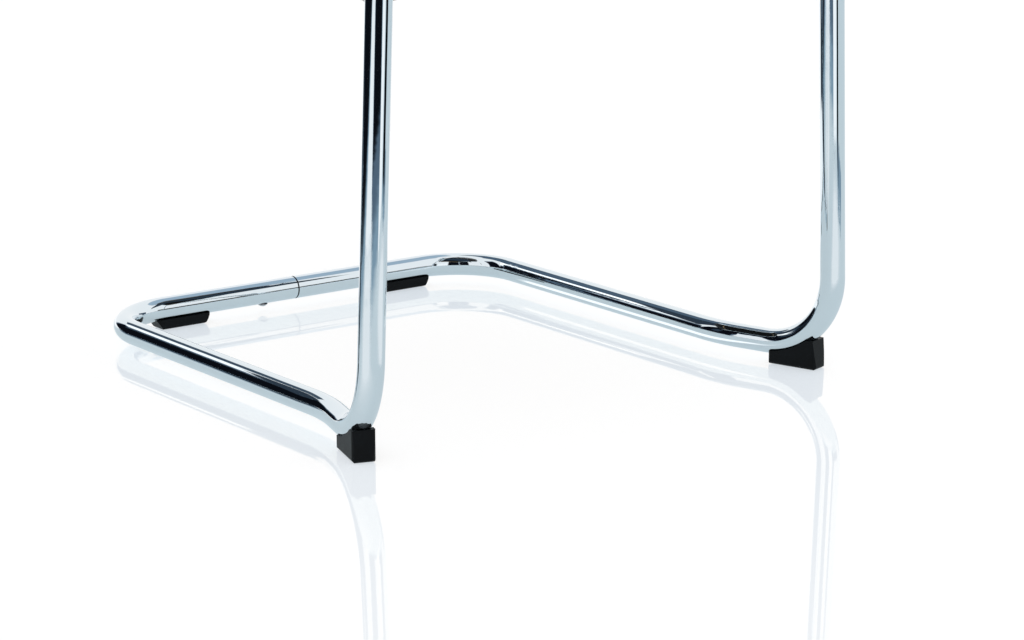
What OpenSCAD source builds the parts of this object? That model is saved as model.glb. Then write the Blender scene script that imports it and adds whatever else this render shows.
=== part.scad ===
// Cantilever armchair on a chromed frame of two bent half tubes.
// Each half runs from the seam of the rear crossbar along the floor rail, up the
// front, back along the arm, down behind it and forward again under the seat.
// Millimetres. Z is up, the sitter faces -Y, and X = 0 is the plane of symmetry.
// The path coordinates below count Y from the axis of the rear crossbar.

/* [Tube] */
// Outside diameter of the frame tube
tube_d = 25; // [22:0.5:28]
// Wall of the frame tube
tube_wall = 2; // [1.5:0.25:3]
// Centre line radius of the bends over the feet, at the arms and under the seat
bend_r = 77; // [62:1:80]
// Centre line radius of the two rear corners of the base
corner_r = 78; // [50:1:100]
// Centre line radius of the shallow outward turn near each foot
kick_r = 180; // [60:5:250]

/* [Base] */
// Distance between the axes of the two floor rails
rail_spacing = 488; // [460:2:510]
// Distance between the axes of the uprights at floor level
foot_spacing = 568; // [540:2:590]
// Distance from the crossbar axis to the axes of the uprights
base_len = 566; // [540:1:610]
// Length over which each floor rail turns outward to its foot
kick_len = 128; // [118:1:160]
// Gap between the floor and the underside of the tube
floor_gap = 8.5; // [7:0.5:12]
// Open seam between the two half frames in the crossbar
seam_gap = 0.6; // [0.2:0.1:2]

/* [Arms] */
// Distance between the axes of the two arms
arm_spacing = 520; // [504:2:540]
// Height of the arm axis above the floor
arm_z = 655; // [600:1:700]
// Distance from the crossbar axis forward to the rear legs of the arm loops
leg_setback = 110; // [90:1:140]

/* [Seat rails] */
// Distance between the axes of the rails under the seat
seat_rail_spacing = 380; // [360:2:400]
// Height of the rail axis at its front end
seat_rail_z = 420; // [400:1:440]
// Backward slope of the seat in degrees
seat_tilt = 2.5; // [0:0.5:4]
// Distance from the crossbar axis forward to the inward turn of the seat rails
rail_turn_setback = 215; // [205:1:240]
// Distance from the crossbar axis forward to the front ends of the seat rails
rail_end_setback = 475; // [455:1:500]

/* [Feet] */
// Length of each front foot along its tube
foot_len = 56; // [50:1:66]
// Width of each front foot
foot_w = 23; // [20:0.5:25]
// Height of the front face of each front foot
foot_h = 30.5; // [26:0.5:34]
// Distance from the upright axis back to the foot of that front face
foot_setback = 14; // [12:0.5:20]
// Lean of the front face, measured over its height
foot_rake = 3.5; // [0:0.5:5]
// Radius of the upright edges at the front of each front foot
foot_nose_r = 6; // [2:0.5:9]
// Radius of the other edges of each front foot
foot_edge_r = 3.5; // [1.5:0.5:4.5]
// Depth by which the flanks of each front foot rise beside the tube
cradle_rise = 4.5; // [2:0.5:6]
// Length of each rear glide at the tube
glide_len = 67; // [50:1:75]
// Length by which both ends of a glide taper in toward the floor
glide_taper = 7; // [3:0.5:10]
// Width of each rear glide
glide_w = 21; // [18:0.5:23]
// Depth by which the flanks of each glide rise beside the tube
glide_rise = 2.5; // [1:0.5:5]
// Radius of the edges of each glide
glide_edge_r = 2.5; // [1:0.5:3.5]
// Distance from the seam to the middle of each glide
glide_x = 145; // [116:1:150]
// Diameter of the peg that holds a foot or a glide in the tube
peg_d = 7; // [5:0.5:9]
// Length of that peg inside the tube
peg_len = 5; // [3:0.5:8]

/* [Seat and back] */
// Width of the shell at the front of the seat
seat_front_w = 446; // [424:2:450]
// Width of the shell where seat and back meet
shell_w = 436; // [424:2:440]
// Width of the shell at the top of the back
back_top_w = 400; // [360:2:420]
// Thickness of the moulded plywood shell
shell_t = 11; // [9:0.5:14]
// Distance from the crossbar axis forward to the start of the front lip
lip_setback = 520; // [505:1:535]
// Length of the front lip
lip_len = 28; // [20:1:34]
// Downward slope of the front lip in degrees
lip_angle = 30; // [15:1:35]
// Radius of the bend into the front lip
lip_r = 45; // [30:1:60]
// Distance from the crossbar axis forward to the corner of seat and back
back_setback = 88; // [75:1:100]
// Radius of the bend between seat and back
back_bend_r = 95; // [75:1:110]
// Height of the lower, steeper part of the back above the seat corner
lumbar_h = 180; // [150:5:220]
// Lean of the lower part of the back in degrees
lumbar_lean = 10.5; // [6:0.5:14]
// Radius of the bend between the lower and the upper back
lumbar_r = 420; // [300:10:600]
// Lean of the upper part of the back in degrees
back_lean = 14; // [12:0.5:18]
// Height of the top of the shell above the floor
back_top_z = 872; // [800:1:920]
// Thickness of the seat foam
seat_foam_t = 34; // [25:1:40]
// Thickness of the back foam
back_foam_t = 26; // [18:1:32]
// Thickness of the upholstery covers
cover_t = 1.5; // [1:0.25:2.5]
// Thickness of the panel behind the back
panel_t = 5; // [3:0.5:8]
// Thickness of the liner under the seat
liner_t = 1.2; // [1:0.2:2]
// Distance by which that liner stays inside the edge of the shell
liner_margin = 5; // [3:0.5:6]
// Radius of the front corners of the seat
seat_corner_r = 48; // [30:1:60]
// Radius of the top corners of the back
back_corner_r = 62; // [40:1:80]

/* [Arm pads] */
// Length of each arm pad
pad_len = 262; // [200:2:270]
// Width of each arm pad
pad_w = 42; // [36:1:50]
// Height of the pad above the top of the tube
pad_h = 11; // [8:0.5:16]
// Depth by which the flanks of the pad reach down beside the tube
pad_flank = 10.5; // [6:0.5:11]
// Radius of the crown across the top of the pad
pad_crown_r = 80; // [50:5:150]
// Radius of the long upper edges of the pad
pad_edge_r = 6; // [3:0.5:8]
// Radius of its ends in plan
pad_end_r = 20; // [10:1:21]
// Distance between the two screws of each arm pad
pad_screw_pitch = 170; // [120:5:180]

/* [Fasteners] */
// Diameter of the bolts that hold the seat shell
bolt_d = 6; // [5:1:8]
// Distance between the front and the rear seat bolt
bolt_pitch = 180; // [150:5:190]
// Distance from the rail end back to the front seat bolt
bolt_inset = 40; // [30:1:50]
// Height of the saddle between the tube and the shell
saddle_t = 4; // [3:0.5:8]
// Length of each saddle
saddle_len = 34; // [28:1:44]
// Width of each saddle
saddle_w = 24; // [20:0.5:26]
// Diameter of the flange of the tee nuts
nut_flange_d = 17; // [15:0.5:20]
// Thickness of the flange of the tee nuts
nut_flange_t = 1.2; // [0.8:0.1:2]
// Outside diameter of the barrel of the tee nuts
nut_barrel_d = 8.5; // [7.5:0.25:10]
// Diameter of the hollowed washers between the bolt heads and the tube
washer_d = 17; // [14:0.5:20]
// Thickness of those washers under the tube
washer_t = 1.8; // [1:0.2:3]
// Diameter of the arm pad screws
pad_screw_d = 4.5; // [3.5:0.5:5]
// Depth by which the arm pad screws reach above the tube
pad_screw_bite = 8; // [5:0.5:9]
// Diameter of the screw in the crossbar
seam_screw_d = 5; // [4:0.5:6]
// Distance from the seam to the screw in the crossbar
seam_screw_x = 40; // [30:1:60]
// Length of the sleeve inside the crossbar
sleeve_len = 140; // [130:2:170]
// Wall of the sleeve inside the crossbar
sleeve_wall = 2.5; // [2:0.25:4]
// Length of the end plug inside each seat rail
plug_len = 20; // [12:1:30]
// Height of the domed cap of that plug
plug_cap_h = 3; // [1.5:0.5:5]

/* [Fits] */
// Clearance round a cradle, a sleeve, a peg or a plug
snug = 0.1; // [0.05:0.05:0.25]
// Gap that keeps soft pieces clear of their neighbours
soft_gap = 0.3; // [0.2:0.05:0.5]
// Widening of a plain screw hole over its screw
hole_gap = 0.6; // [0.4:0.1:1]
// Widening of a threaded hole over its screw
thread_gap = 0.1; // [0.05:0.05:0.2]

/* [Hidden] */
$fn = 96;

tube_r = tube_d / 2;
bore_r = tube_r - tube_wall;
axis_z = floor_gap + tube_r;
rail_x = rail_spacing / 2;
foot_x = foot_spacing / 2;
arm_x = arm_spacing / 2;
seat_rail_x = seat_rail_spacing / 2;
rail_end_y = -rail_end_setback;
kick_angle = atan((foot_x - rail_x) / kick_len);

// Height of the seat rail axis at a given Y
function rail_z(y) = seat_rail_z - (y - rail_end_y) * tan(seat_tilt);

// Corners of the right half frame, from the seam to the front end of the seat rail
frame_path = [
    [seam_gap / 2, 0, axis_z],
    [rail_x, 0, axis_z],
    [rail_x, kick_len - base_len, axis_z],
    [foot_x, -base_len, axis_z],
    [arm_x, -base_len, arm_z],
    [arm_x, -leg_setback, arm_z],
    [arm_x, -leg_setback, rail_z(-leg_setback)],
    [seat_rail_x, -rail_turn_setback, rail_z(-rail_turn_setback)],
    [seat_rail_x, rail_end_y, seat_rail_z]];
frame_radii = [0, corner_r, kick_r, bend_r, bend_r, bend_r, bend_r, bend_r, 0];
// The stretch of it that a front foot holds
foot_path = [frame_path[2], frame_path[3], frame_path[4]];

// Side outline of the sitting side of the shell, [Y, Z], from the lip to the top
shell_rise = (tube_r + saddle_t + shell_t) / cos(seat_tilt);
function seat_z(y) = rail_z(y) + shell_rise;
lip_corner = [-lip_setback, seat_z(-lip_setback)];
lip_end = lip_corner - lip_len * [cos(lip_angle), sin(lip_angle)];
seat_corner = [-back_setback, seat_z(-back_setback)];
lumbar = seat_corner + lumbar_h * [tan(lumbar_lean), 1];
back_top = [lumbar[0] + (back_top_z - lumbar[1]) * tan(back_lean), back_top_z];
shell_path = [lip_end, lip_corner, seat_corner, lumbar, back_top];
shell_radii = [0, lip_r, back_bend_r, lumbar_r, 0];
// Degrees between the stations of a drawn bend in the shell
bend_step = 4;
// The covers meet a little before the seat turns up into the back
fold_lead = 4;
fold = seat_corner
    - (fold_lead + fillet_reach(shell_path, 2, back_bend_r)) * unit(seat_corner - lip_corner);
// Length and height of the ring that the bending die leaves at the end of a bend
die_ring_len = 0.8;
die_ring_h = 0.02;
// Sizes of a domed screw head and its socket, as shares of the shank diameter
head_r_share = 1.15;
head_h_share = 0.6;
socket_d_share = 0.65;
socket_depth_share = 0.36;
// Distance by which a cutting solid passes the solid that it cuts
over = 1;

// The whole chair is centred on Y = 0 between its front and its rear limits
rear_offset = shell_t + soft_gap + panel_t;
front_limit = -base_len - tube_r;
rear_limit = back_top[0] + rear_offset * cos(back_lean);
centre_y = -(front_limit + rear_limit) / 2;

bolt_ys = [rail_end_y + bolt_inset, rail_end_y + bolt_inset + bolt_pitch];
// Top of the tee nuts above the rail axis, a little under the sitting side of the shell
nut_top = tube_r + saddle_t + shell_t - nut_flange_t / 2;
// Depth of a drawing that takes in the whole chair
reach = 2 * back_top_z;

// ---- paths with rounded corners ----

function unit(v) = v / norm(v);
function turn_angle(path, i) =
    acos(unit(path[i] - path[i - 1]) * unit(path[i + 1] - path[i]));
// Distance from a corner to the point where its fillet starts
function fillet_reach(path, i, r) = r * tan(turn_angle(path, i) / 2);
function leave(path, radii, i) = i == 0 ? path[0]
    : path[i] + fillet_reach(path, i, radii[i]) * unit(path[i + 1] - path[i]);
function arrive(path, radii, i) = i == len(path) - 1 ? path[i]
    : path[i] - fillet_reach(path, i, radii[i]) * unit(path[i] - path[i - 1]);

// Shortens a path at its first and last point
function trimmed(path, first, last) = [for (i = [0:len(path) - 1])
    i == 0 ? path[0] + first * unit(path[1] - path[0])
    : i == len(path) - 1 ? path[i] - last * unit(path[i] - path[i - 1]) : path[i]];

// Puts local X, Y, Z along the given directions, at a point
module in_axes(x, y, z, at) {
    multmatrix([
        [x[0], y[0], z[0], at[0]],
        [x[1], y[1], z[1], at[1]],
        [x[2], y[2], z[2], at[2]],
        [0, 0, 0, 1]]) children();
}

// Puts local Z along a direction, at a point
module along_line(direction, at) {
    side = unit(cross(abs(direction[2]) > 0.9 ? [0, 1, 0] : [0, 0, 1], direction));
    in_axes(side, cross(direction, side), direction, at) children();
}

// Round bar along a rounded path. The bending die leaves a faint ring at both ends
// of every bend, which also joins the straight stretch to the bend.
module round_bar(path, radii, r) {
    last = len(path) - 1;
    for (i = [0:last - 1]) {
        along = unit(path[i + 1] - path[i]);
        a = leave(path, radii, i) + (i == 0 ? 0 : die_ring_len / 4) * along;
        b = arrive(path, radii, i + 1) - (i == last - 1 ? 0 : die_ring_len / 4) * along;
        along_line(along, a) cylinder(h = norm(b - a), r = r);
    }
    for (i = [1:last - 1]) {
        a = arrive(path, radii, i);
        along = unit(path[i] - path[i - 1]);
        away = unit(path[i + 1] - path[i]);
        inward = unit(away - (away * along) * along);
        in_axes(-inward, along, cross(-inward, along), a + radii[i] * inward)
            rotate_extrude(angle = turn_angle(path, i)) translate([radii[i], 0]) circle(r);
        along_line(along, a)
            cylinder(h = die_ring_len, r = r + die_ring_h, center = true);
        along_line(away, leave(path, radii, i))
            cylinder(h = die_ring_len, r = r + die_ring_h, center = true);
    }
}

// Turns a drawing in [Y, Z] upright, so that its thickness runs along X
module side_on() {
    in_axes([0, 1, 0], [0, 0, 1], [1, 0, 0], [0, 0, 0]) children();
}

// Points and normals along a rounded side outline, one for each bend_step degrees
function stations(path, radii) = [for (i = [0:len(path) - 1])
    let (last = len(path) - 1,
        along = unit(path[i] - path[max(i - 1, 0)] + (i == 0 ? path[1] - path[0] : [0, 0])),
        away = i == last ? along : unit(path[i + 1] - path[i]),
        left = along[0] * away[1] > along[1] * away[0] ? 1 : -1,
        turn = i == 0 || i == last ? 0 : turn_angle(path, i),
        first = i == 0 ? path[0] : i == last ? path[last] : arrive(path, radii, i),
        centre = first + left * radii[i] * [-along[1], along[0]],
        steps = max(1, ceil(turn / bend_step)))
    for (k = [0:turn == 0 ? 0 : steps])
        let (a = left * turn * k / steps,
            up = [-along[1] * cos(a) - along[0] * sin(a), along[0] * cos(a) - along[1] * sin(a)])
        [turn == 0 ? first : centre - left * radii[i] * up, up]];

// Band along a rounded side outline, between two distances to its sitting side
module band(path, radii, low, high, width) {
    line = stations(path, radii);
    n = len(line);
    side_on() linear_extrude(width, center = true) polygon([
        each [for (s = line) s[0] + low * s[1]],
        each [for (i = [n - 1:-1:0]) line[i][0] + high * line[i][1]]]);
}

// Convex outline, counter-clockwise, with a radius for each corner
module rounded(points, radii) {
    n = len(points);
    function corner(i) = points[(i + n) % n];
    function half_turn(i) = turn_angle([corner(i - 1), corner(i), corner(i + 1)], 1) / 2;
    function before(i) = corner(i)
        - radii[i] * tan(half_turn(i)) * unit(corner(i) - corner(i - 1));
    function after(i) = corner(i)
        + radii[i] * tan(half_turn(i)) * unit(corner(i + 1) - corner(i));
    function centre(i) = before(i)
        + radii[i] * unit([corner(i - 1)[1] - corner(i)[1], corner(i)[0] - corner(i - 1)[0]]);
    polygon([for (i = [0:n - 1]) each (radii[i] > 0 ? [before(i), after(i)] : [corner(i)])]);
    for (i = [0:n - 1]) if (radii[i] > 0) translate(centre(i)) circle(radii[i]);
}

module place() {
    translate([0, centre_y, 0]) children();
}

module on_left() {
    mirror([1, 0, 0]) children();
}

// ---- half frames ----

// Origin at the axis of a seat bolt on the rail axis, Z square to the shell
module at_bolt(y) {
    translate([seat_rail_x, y, rail_z(y)]) rotate([-seat_tilt, 0, 0]) children();
}

// Middle of the arms between the axes of their legs
arm_mid_y = -(base_len + leg_setback) / 2;
module at_pad_screws() {
    for (side = [-1, 1])
        translate([arm_x, arm_mid_y + side * pad_screw_pitch / 2, arm_z]) children();
}

// Distance from the upright axis back to the peg of a front foot
foot_peg_back = foot_setback + foot_len - 1.5 * peg_d;
// Origin under the upright, Y running back along the tube that enters the foot
module at_foot() {
    translate([foot_x, -base_len, 0]) rotate([0, 0, kick_angle]) children();
}

module half_frame() {
    difference() {
        round_bar(frame_path, frame_radii, tube_r);
        round_bar(trimmed(frame_path, -over, -over), frame_radii, bore_r);
        for (y = bolt_ys) at_bolt(y) cylinder(h = 2 * tube_d, d = bolt_d + hole_gap, center = true);
        at_pad_screws() cylinder(h = 2 * tube_d, d = pad_screw_d + hole_gap, center = true);
        at_foot() translate([0, foot_peg_back, 0]) cylinder(h = axis_z, d = peg_d + 2 * snug);
        translate([glide_x, 0, 0]) cylinder(h = axis_z, d = peg_d + 2 * snug);
    }
}

module left_frame_tube() {
    color("silver") place() difference() {
        on_left() half_frame();
        translate([-seam_screw_x, 0, 0]) cylinder(h = axis_z, d = seam_screw_d + hole_gap);
    }
}

module right_frame_tube() {
    color("silver") place() half_frame();
}

module crossbar_sleeve() {
    sleeve_r = bore_r - snug;
    color("dimgray") place() difference() {
        translate([0, 0, axis_z]) rotate([0, 90, 0]) difference() {
            cylinder(h = sleeve_len, r = sleeve_r, center = true);
            cylinder(h = sleeve_len + 2 * over, r = sleeve_r - sleeve_wall, center = true);
        }
        translate([-seam_screw_x, 0, 0]) cylinder(h = axis_z, d = seam_screw_d + thread_gap);
    }
}

// Screw with a domed head below Z = 0 and its shank above, with a socket in the head
module domed_screw(d, length) {
    head_r = head_r_share * d;
    head_h = head_h_share * d;
    dome_r = (head_r * head_r + head_h * head_h) / (2 * head_h);
    difference() {
        union() {
            intersection() {
                translate([0, 0, -head_h]) cylinder(h = head_h, r = head_r);
                translate([0, 0, dome_r - head_h]) sphere(dome_r);
            }
            cylinder(h = length, d = d);
        }
        translate([0, 0, -head_h]) cylinder(h = socket_depth_share * d, d = socket_d_share * d, $fn = 6);
    }
}

module crossbar_screw() {
    color("dimgray") place() translate([-seam_screw_x, 0, floor_gap - snug])
        domed_screw(seam_screw_d, tube_wall + sleeve_wall + 2 * snug);
}

// ---- feet and glides ----

// Block under the front bend: its top follows the bend and cradles the tube
module front_foot() {
    front = foot_setback;
    rear = foot_setback + foot_len;
    half = foot_w / 2;
    flank = tube_r - cradle_rise;
    difference() {
        at_foot() difference() {
            intersection() {
                side_on() linear_extrude(foot_w, center = true)
                    rounded([[front, 0], [rear, 0], [rear, foot_h], [front + foot_rake, foot_h]],
                        [foot_edge_r, foot_edge_r, 0, 0]);
                translate([0, 0, -over]) linear_extrude(2 * foot_h)
                    rounded([[-half, front], [half, front], [half, rear], [-half, rear]],
                        [foot_nose_r, foot_nose_r, foot_edge_r, foot_edge_r]);
                translate([0, rear + over, 0]) rotate([90, 0, 0])
                    linear_extrude(foot_len + 2 * over)
                    rounded([[-half, 0], [half, 0], [half, foot_h + over], [-half, foot_h + over]],
                        [foot_edge_r, foot_edge_r, 0, 0]);
            }
            // Room above the flanks, along the bend and behind it
            translate([0, bend_r, axis_z + bend_r]) rotate([0, 90, 0])
                cylinder(h = 2 * foot_w, r = bend_r + flank, center = true);
            translate([-foot_w, bend_r, axis_z - flank]) cube([2 * foot_w, foot_len, foot_h]);
        }
        round_bar(foot_path, [0, bend_r, 0], tube_r + snug);
    }
    at_foot() translate([0, foot_peg_back, floor_gap / 2])
        cylinder(h = floor_gap / 2 + tube_wall + peg_len, d = peg_d);
}

module right_front_foot() {
    color("#17181a") place() front_foot();
}

module left_front_foot() {
    color("#17181a") place() on_left() front_foot();
}

// Boat-shaped glide under the crossbar
module rear_glide() {
    top = floor_gap + glide_rise;
    half = glide_len / 2;
    side = glide_w / 2;
    translate([glide_x, 0, 0]) {
        difference() {
            intersection() {
                rotate([90, 0, 0]) linear_extrude(glide_w, center = true)
                    rounded([[glide_taper - half, 0], [half - glide_taper, 0],
                        [half, top], [-half, top]], [glide_edge_r, glide_edge_r, 0, 0]);
                side_on() linear_extrude(2 * glide_len, center = true)
                    rounded([[-side, 0], [side, 0], [side, top], [-side, top]],
                        [glide_edge_r, glide_edge_r, 0, 0]);
                linear_extrude(2 * top)
                    rounded([[-half, -side], [half, -side], [half, side], [-half, side]],
                        [2 * glide_edge_r, 2 * glide_edge_r, 2 * glide_edge_r, 2 * glide_edge_r]);
            }
            translate([0, 0, axis_z]) rotate([0, 90, 0])
                cylinder(h = 2 * glide_len, r = tube_r + snug, center = true);
        }
        translate([0, 0, floor_gap / 2])
            cylinder(h = floor_gap / 2 + tube_wall + peg_len, d = peg_d);
    }
}

module right_rear_glide() {
    color("#17181a") place() rear_glide();
}

module left_rear_glide() {
    color("#17181a") place() on_left() rear_glide();
}

// ---- seat fixings ----

// Plug in the open front end of a seat rail, with a domed cap
module rail_plug() {
    dome_r = (tube_r * tube_r + plug_cap_h * plug_cap_h) / (2 * plug_cap_h);
    translate([seat_rail_x, rail_end_y, seat_rail_z]) rotate([90 - seat_tilt, 0, 0]) {
        intersection() {
            cylinder(h = plug_cap_h, r = tube_r);
            translate([0, 0, plug_cap_h - dome_r]) sphere(dome_r);
        }
        translate([0, 0, -plug_len]) difference() {
            cylinder(h = plug_len, r = bore_r - snug);
            translate([0, 0, -tube_wall]) cylinder(h = plug_len, r = bore_r - 2 * tube_wall);
        }
    }
}

module right_rail_plug() {
    color("#17181a") place() rail_plug();
}

module left_rail_plug() {
    color("#17181a") place() on_left() rail_plug();
}

module saddle(y) {
    top = tube_r + saddle_t;
    low = tube_r / 2;
    side = saddle_w / 2;
    end = saddle_len / 2;
    at_bolt(y) difference() {
        translate([0, 0, low]) linear_extrude(top - low)
            rounded([[-side, -end], [side, -end], [side, end], [-side, end]],
                [saddle_t, saddle_t, saddle_t, saddle_t]);
        rotate([90, 0, 0]) cylinder(h = 2 * saddle_len, r = tube_r + snug, center = true);
        cylinder(h = 2 * top, d = bolt_d + hole_gap);
    }
}

module right_front_saddle() {
    color("#17181a") place() saddle(bolt_ys[0]);
}

module right_rear_saddle() {
    color("#17181a") place() saddle(bolt_ys[1]);
}

module left_front_saddle() {
    color("#17181a") place() on_left() saddle(bolt_ys[0]);
}

module left_rear_saddle() {
    color("#17181a") place() on_left() saddle(bolt_ys[1]);
}

module at_all_bolts() {
    for (y = bolt_ys) {
        at_bolt(y) children();
        on_left() at_bolt(y) children();
    }
}

module saddle_washers() {
    color("silver") place() at_all_bolts() difference() {
        translate([0, 0, -tube_r - washer_t]) cylinder(h = tube_r / 2, d = washer_d);
        rotate([90, 0, 0]) cylinder(h = 2 * tube_d, r = tube_r + snug, center = true);
        translate([0, 0, -2 * tube_d]) cylinder(h = 2 * tube_d, d = bolt_d + hole_gap);
    }
}

module seat_bolts() {
    color("silver") place() at_all_bolts() translate([0, 0, -tube_r - washer_t - snug])
        domed_screw(bolt_d, nut_top + tube_r + washer_t - nut_flange_t);
}

module tee_nuts() {
    nut_barrel_len = shell_t - 2 * nut_flange_t;
    color("silver") place() at_all_bolts() difference() {
        union() {
            translate([0, 0, nut_top - nut_flange_t]) cylinder(h = nut_flange_t, d = nut_flange_d);
            translate([0, 0, nut_top - nut_barrel_len])
                cylinder(h = nut_barrel_len, d = nut_barrel_d);
        }
        cylinder(h = reach, d = bolt_d + thread_gap);
    }
}

// ---- shell and upholstery ----

// Keeps what lies inside the plan of the seat and the front view of the back,
// each grown by an edge
module within_outlines(edge) {
    front_half = seat_front_w / 2 + edge;
    rear_half = shell_w / 2 + edge;
    top_half = back_top_w / 2 + edge;
    front = lip_end[0] - edge - shell_t * sin(lip_angle);
    rear_y = back_top[0] + rear_offset;
    intersection() {
        children();
        linear_extrude(reach)
            rounded([[-front_half, front - seat_foam_t * sin(lip_angle)],
                [front_half, front - seat_foam_t * sin(lip_angle)],
                [rear_half, seat_corner[0]], [rear_half, rear_y],
                [-rear_half, rear_y], [-rear_half, seat_corner[0]]],
                [seat_corner_r, seat_corner_r, 0, 0, 0, 0]);
        translate([0, reach / 2, 0]) rotate([90, 0, 0]) linear_extrude(reach)
            rounded([[-front_half, 0], [front_half, 0], [front_half, seat_corner[1] + back_bend_r / 2],
                [top_half, back_top_z + edge], [-top_half, back_top_z + edge],
                [-front_half, seat_corner[1] + back_bend_r / 2]],
                [0, 0, 0, back_corner_r, back_corner_r, 0]);
    }
}

module seat_back_shell() {
    color("burlywood") place() difference() {
        within_outlines(0) band(shell_path, shell_radii, -shell_t, 0, 2 * seat_front_w);
        at_all_bolts() {
            cylinder(h = 2 * tube_d, d = nut_barrel_d + 2 * snug);
            translate([0, 0, nut_top - nut_flange_t - snug])
                cylinder(h = tube_d, d = nut_flange_d + 2 * snug);
        }
    }
}

// Sub-paths of the seat pad and of the back pad
seat_path = [lip_end, lip_corner, fold];
seat_radii = [0, lip_r, 0];
back_path = [fold, seat_corner, lumbar, back_top];
back_radii = [0, back_bend_r, lumbar_r, 0];

module seat_pad(inset) {
    within_outlines(-inset)
        band(trimmed(seat_path, inset, inset + soft_gap), seat_radii,
            soft_gap + inset, soft_gap + cover_t + seat_foam_t + cover_t - inset, 2 * seat_front_w);
}

module back_pad(inset) {
    within_outlines(-inset)
        band(trimmed(back_path, 0, inset), back_radii,
            soft_gap + inset, soft_gap + cover_t + back_foam_t + cover_t - inset, 2 * seat_front_w);
}

module seat_foam() {
    color("khaki") place() seat_pad(cover_t + soft_gap);
}

module seat_cover() {
    color("#1b1b1d") place() difference() {
        seat_pad(0);
        seat_pad(cover_t);
    }
}

module back_foam() {
    color("khaki") place() back_pad(cover_t + soft_gap);
}

module back_cover() {
    color("#1b1b1d") place() difference() {
        back_pad(0);
        back_pad(cover_t);
    }
}

module back_panel() {
    color("#1b1b1d") place() within_outlines(0)
        band(back_path, back_radii, -rear_offset, -shell_t - soft_gap, 2 * seat_front_w);
}

module seat_liner() {
    front = lip_corner + liner_margin * [1, -tan(seat_tilt)];
    rear = fold - liner_margin * [1, 0];
    color("#202022") place() difference() {
        within_outlines(-liner_margin)
            band([front, rear], [0, 0], -shell_t - soft_gap - liner_t, -shell_t - soft_gap,
                2 * seat_front_w);
        at_all_bolts()
            cube([saddle_w + 2 * hole_gap, saddle_len + 2 * hole_gap, 2 * tube_d], center = true);
    }
}

// ---- arm pads ----

// Long rounded pad with a crowned top that sits over the arm tube
module arm_pad() {
    top = tube_r + pad_h;
    low = tube_r - pad_flank;
    side = pad_w / 2;
    end = pad_len / 2;
    end_r = min(pad_end_r, side - snug);
    translate([arm_x, arm_mid_y, arm_z]) difference() {
        intersection() {
            linear_extrude(2 * top, center = true)
                rounded([[-side, -end], [side, -end], [side, end], [-side, end]],
                    [end_r, end_r, end_r, end_r]);
            rotate([90, 0, 0]) linear_extrude(pad_len + 2 * over, center = true)
                rounded([[-side, low], [side, low], [side, top], [-side, top]],
                    [pad_edge_r / 2, pad_edge_r / 2, pad_edge_r, pad_edge_r]);
            translate([0, 0, top - pad_crown_r]) rotate([90, 0, 0])
                cylinder(h = pad_len + 2 * over, r = pad_crown_r, center = true);
        }
        rotate([90, 0, 0])
            cylinder(h = pad_len + 2 * over, r = tube_r + snug, center = true);
        for (way = [-1, 1]) translate([0, way * pad_screw_pitch / 2, 0])
            cylinder(h = tube_r + pad_screw_bite + hole_gap, d = pad_screw_d + thread_gap);
    }
}

module right_arm_pad() {
    color("#17181a") place() arm_pad();
}

module left_arm_pad() {
    color("#17181a") place() on_left() arm_pad();
}

module arm_pad_screw_pair() {
    at_pad_screws() translate([0, 0, -tube_r - snug])
        domed_screw(pad_screw_d, tube_d + pad_screw_bite);
}

module right_arm_pad_screws() {
    color("silver") place() arm_pad_screw_pair();
}

module left_arm_pad_screws() {
    color("silver") place() on_left() arm_pad_screw_pair();
}

left_frame_tube();
right_frame_tube();
crossbar_sleeve();
crossbar_screw();
left_front_foot();
right_front_foot();
left_rear_glide();
right_rear_glide();
left_rail_plug();
right_rail_plug();
left_front_saddle();
left_rear_saddle();
right_front_saddle();
right_rear_saddle();
seat_bolts();
saddle_washers();
tee_nuts();
seat_back_shell();
seat_foam();
seat_cover();
back_foam();
back_cover();
back_panel();
seat_liner();
left_arm_pad();
right_arm_pad();
left_arm_pad_screws();
right_arm_pad_screws();
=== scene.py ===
"""Looks of a cantilever armchair on a chromed tube frame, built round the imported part."""
import math

import bmesh
import bpy
import numpy as np
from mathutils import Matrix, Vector
from mathutils.bvhtree import BVHTree

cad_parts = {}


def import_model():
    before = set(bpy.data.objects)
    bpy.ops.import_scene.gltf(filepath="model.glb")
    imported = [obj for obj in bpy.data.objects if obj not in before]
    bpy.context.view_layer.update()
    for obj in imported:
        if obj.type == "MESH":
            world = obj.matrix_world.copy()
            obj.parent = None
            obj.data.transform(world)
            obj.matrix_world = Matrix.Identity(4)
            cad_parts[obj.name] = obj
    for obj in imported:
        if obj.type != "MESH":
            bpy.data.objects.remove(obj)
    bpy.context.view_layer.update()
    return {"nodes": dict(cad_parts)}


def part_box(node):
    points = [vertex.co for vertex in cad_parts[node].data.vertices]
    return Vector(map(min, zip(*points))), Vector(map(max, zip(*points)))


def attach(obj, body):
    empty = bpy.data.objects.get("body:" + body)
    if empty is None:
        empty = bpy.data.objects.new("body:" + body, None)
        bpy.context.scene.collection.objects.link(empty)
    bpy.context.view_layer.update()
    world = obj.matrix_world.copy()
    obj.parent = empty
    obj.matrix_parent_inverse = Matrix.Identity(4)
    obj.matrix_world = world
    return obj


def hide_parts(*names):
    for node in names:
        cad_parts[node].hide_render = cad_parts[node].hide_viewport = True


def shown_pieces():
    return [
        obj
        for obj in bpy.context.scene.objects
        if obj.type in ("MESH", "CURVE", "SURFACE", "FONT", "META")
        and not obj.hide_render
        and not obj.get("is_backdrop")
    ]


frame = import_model()
nodes = frame["nodes"]
scene = bpy.context.scene

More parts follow.
